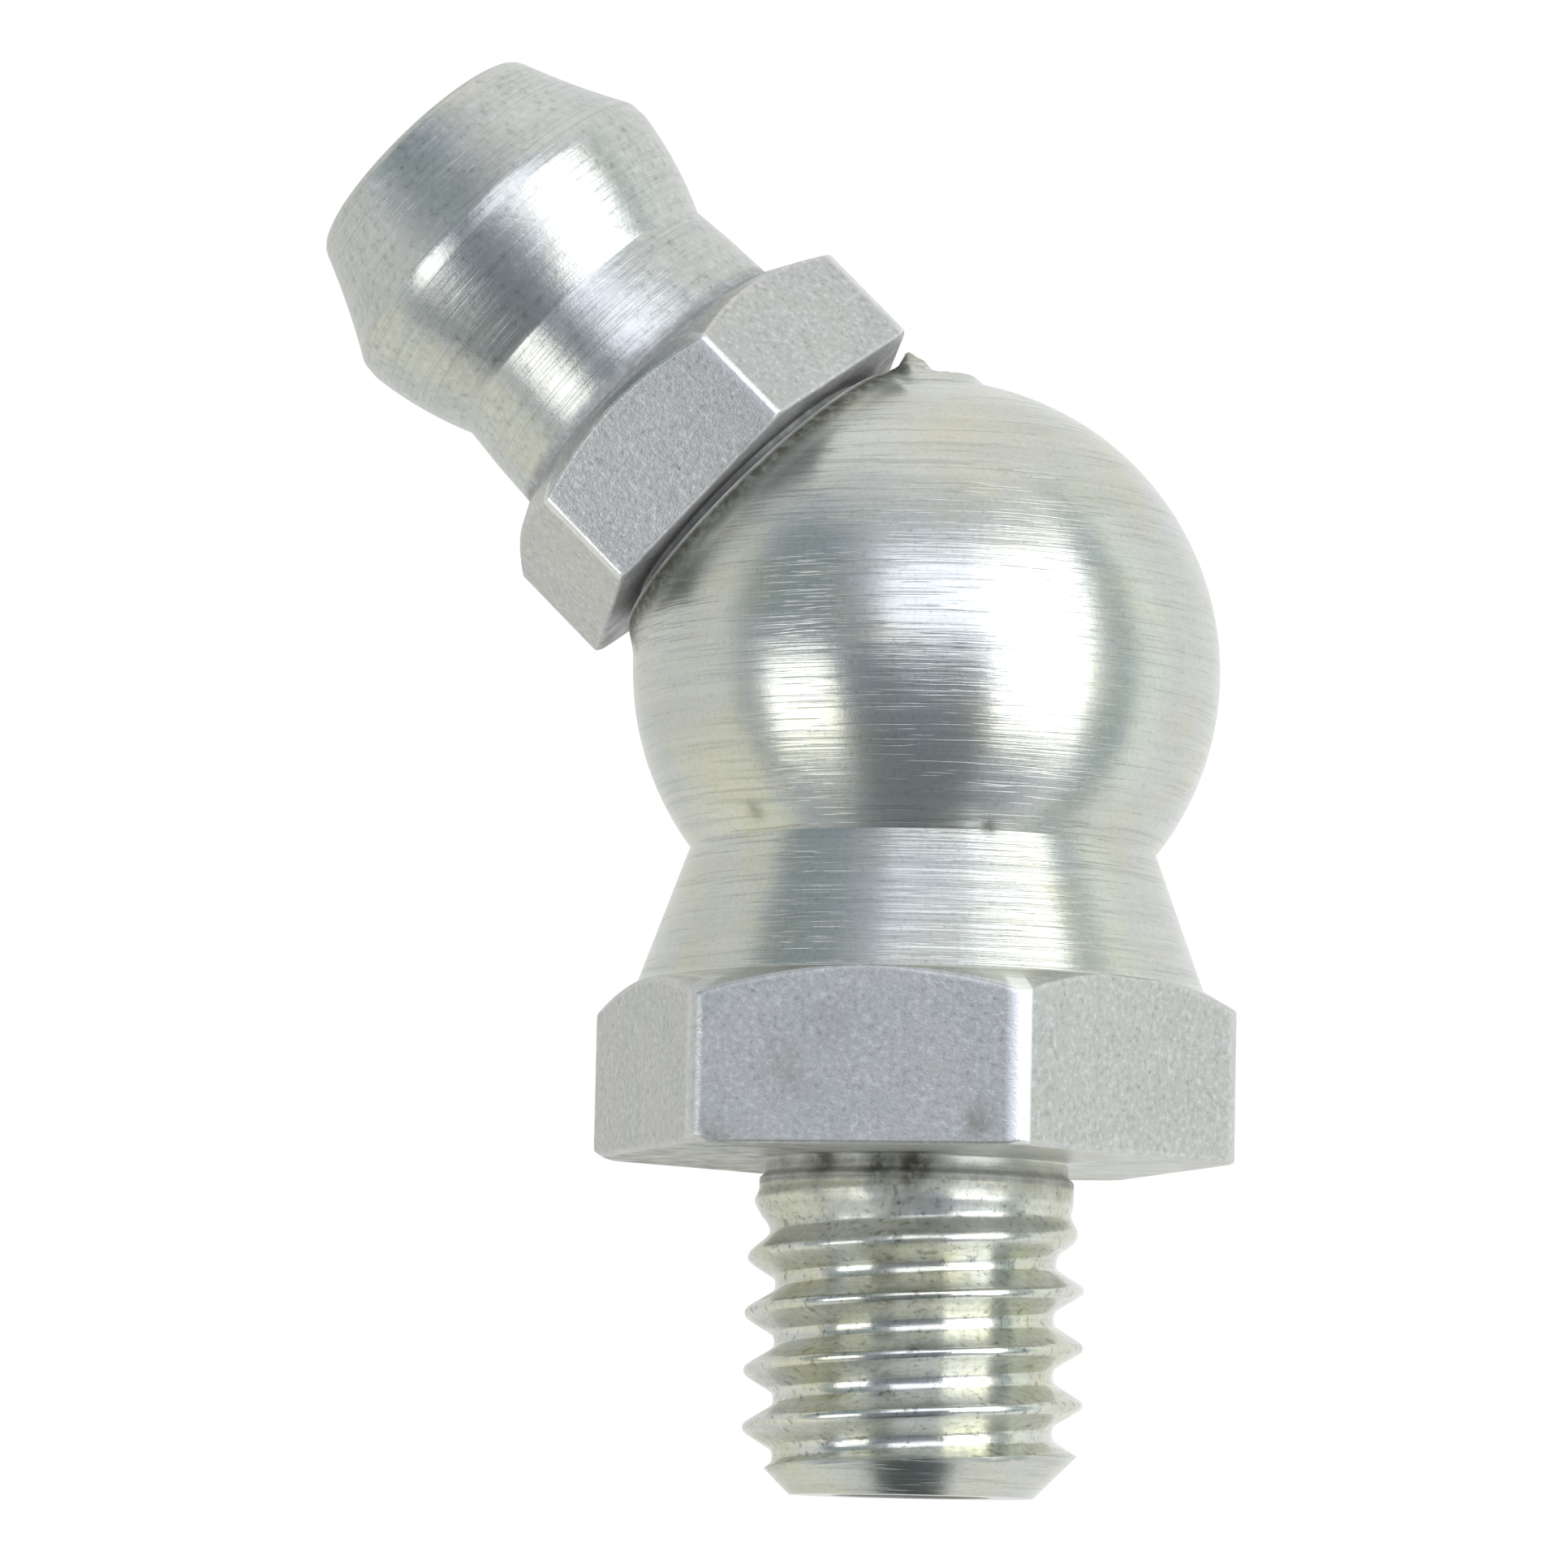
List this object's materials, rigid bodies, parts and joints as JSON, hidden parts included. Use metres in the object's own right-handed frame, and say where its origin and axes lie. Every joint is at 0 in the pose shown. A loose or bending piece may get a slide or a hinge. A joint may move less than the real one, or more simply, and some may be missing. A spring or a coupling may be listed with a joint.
{
  "type": "grease nipple",
  "caption": "Angled screw-in grease nipple: threaded stud with hexagon, ball-shaped elbow and a 45 degree nipple head with a sprung check ball.",
  "frame": {"origin": "on the stud's axis, in the plane of the seat face under the large hexagon, where the mouth of the tapped hole lies when the nipple is screwed home", "axes": "+Z along the stud towards the elbow's ball; the nipple head leans 45 degrees from +Z towards -X; the stud points to -Z"},
  "size_m": [0.0165, 0.0106, 0.0253],
  "materials": {
    "plated_steel_body": "turned and zinc plated, slight green-yellow passivation tint",
    "plated_steel_head": "turned and zinc plated",
    "hardened_ball": "ground and polished",
    "spring_wire": "drawn bright wire"
  },
  "bodies": {
    "nipple": {"elbow_body": "plated_steel_body", "nipple_head": "plated_steel_head", "check_spring": "spring_wire"},
    "ball": {"check_ball": "hardened_ball"}
  },
  "joints": [
    {"name": "check_ball_slide", "type": "slide", "parent": "nipple", "child": "ball", "axis": [0.7071, 0, -0.7071], "range_m": [0, 0.001], "stiffness_N_per_m": 600, "springref_m": -0.002, "deforming": ["check_spring"]}
  ]
}
